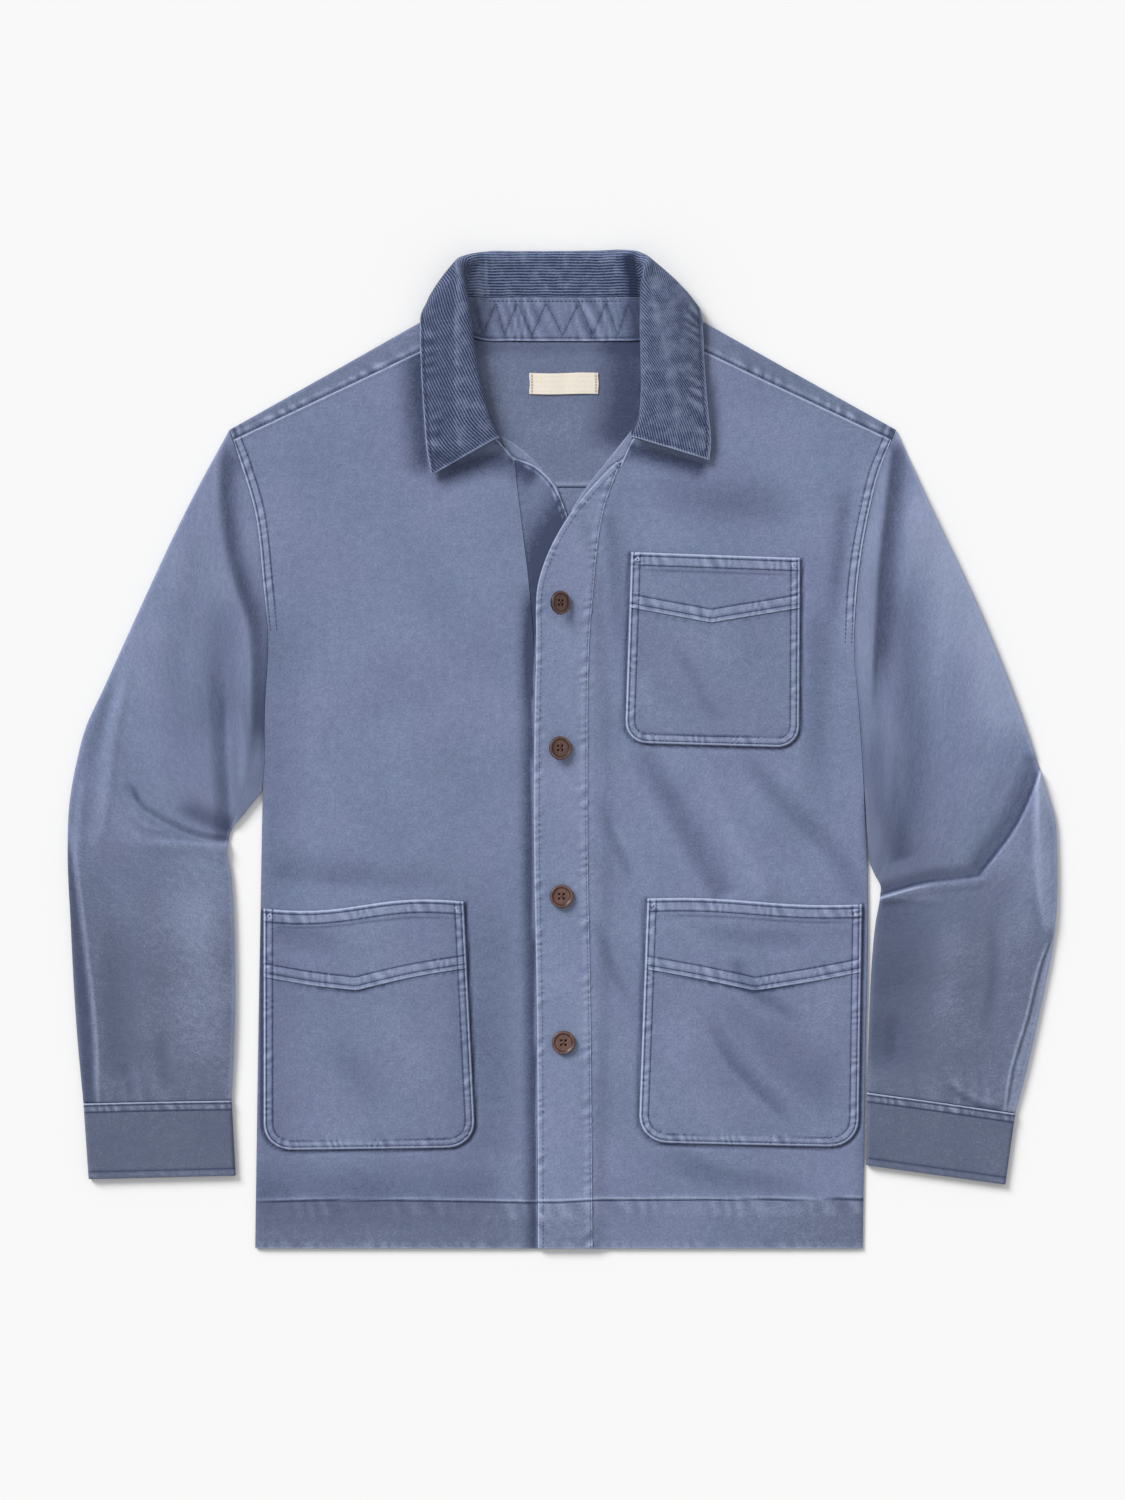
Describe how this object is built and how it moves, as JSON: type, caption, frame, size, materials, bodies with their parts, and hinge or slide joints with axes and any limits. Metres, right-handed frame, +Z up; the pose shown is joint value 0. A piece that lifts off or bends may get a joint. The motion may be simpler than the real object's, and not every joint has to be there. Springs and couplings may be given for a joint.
{
  "type": "chore jacket laid flat",
  "caption": "Blue cotton twill chore jacket laid flat on its back, buttoned, with a turned-down corduroy collar, a chest pocket and lower patch pockets.",
  "frame": {"origin": "centre of the jacket's outline on the surface that it lies on", "axes": "+X to the viewer's right across the jacket, +Y from the hem to the collar, +Z up from the surface"},
  "size_m": [0.7913, 0.7978, 0.0233],
  "materials": {
    "back": "cotton twill, garment dyed and washed, matt",
    "yoke": "cotton twill, garment dyed and washed, matt",
    "front_underlap": "cotton twill, garment dyed and washed, matt",
    "front_overlap": "cotton twill, garment dyed and washed, matt",
    "band_underlap": "cotton twill, garment dyed and washed, matt",
    "band_overlap": "cotton twill, garment dyed and washed, matt",
    "sleeve_left": "cotton twill, garment dyed and washed, matt",
    "sleeve_right": "cotton twill, garment dyed and washed, matt",
    "cuff_left": "cotton twill, garment dyed and washed, matt",
    "cuff_right": "cotton twill, garment dyed and washed, matt",
    "chest_pocket_band": "cotton twill, garment dyed and washed, matt",
    "chest_pocket_body": "cotton twill, garment dyed and washed, matt",
    "lower_pocket_left_band": "cotton twill, garment dyed and washed, matt",
    "lower_pocket_left_body": "cotton twill, garment dyed and washed, matt",
    "lower_pocket_right_band": "cotton twill, garment dyed and washed, matt",
    "lower_pocket_right_body": "cotton twill, garment dyed and washed, matt",
    "collar": "fine cotton corduroy, garment dyed and washed",
    "collar_stand": "cotton twill, garment dyed and washed, matt",
    "neck_label": "blank woven cotton tape, cream",
    "button_1": "horn-effect resin, satin",
    "button_2": "horn-effect resin, satin",
    "button_3": "horn-effect resin, satin",
    "button_4": "horn-effect resin, satin"
  },
  "bodies": {
    "root": {"back": "back", "yoke": "yoke", "front_underlap": "front_underlap", "front_overlap": "front_overlap", "band_underlap": "band_underlap", "band_overlap": "band_overlap", "sleeve_left": "sleeve_left", "sleeve_right": "sleeve_right", "cuff_left": "cuff_left", "cuff_right": "cuff_right", "chest_pocket_band": "chest_pocket_band", "chest_pocket_body": "chest_pocket_body", "lower_pocket_left_band": "lower_pocket_left_band", "lower_pocket_left_body": "lower_pocket_left_body", "lower_pocket_right_band": "lower_pocket_right_band", "lower_pocket_right_body": "lower_pocket_right_body", "collar": "collar", "collar_stand": "collar_stand", "neck_label": "neck_label", "button_1": "button_1", "button_2": "button_2", "button_3": "button_3", "button_4": "button_4"}
  },
  "joints": []
}
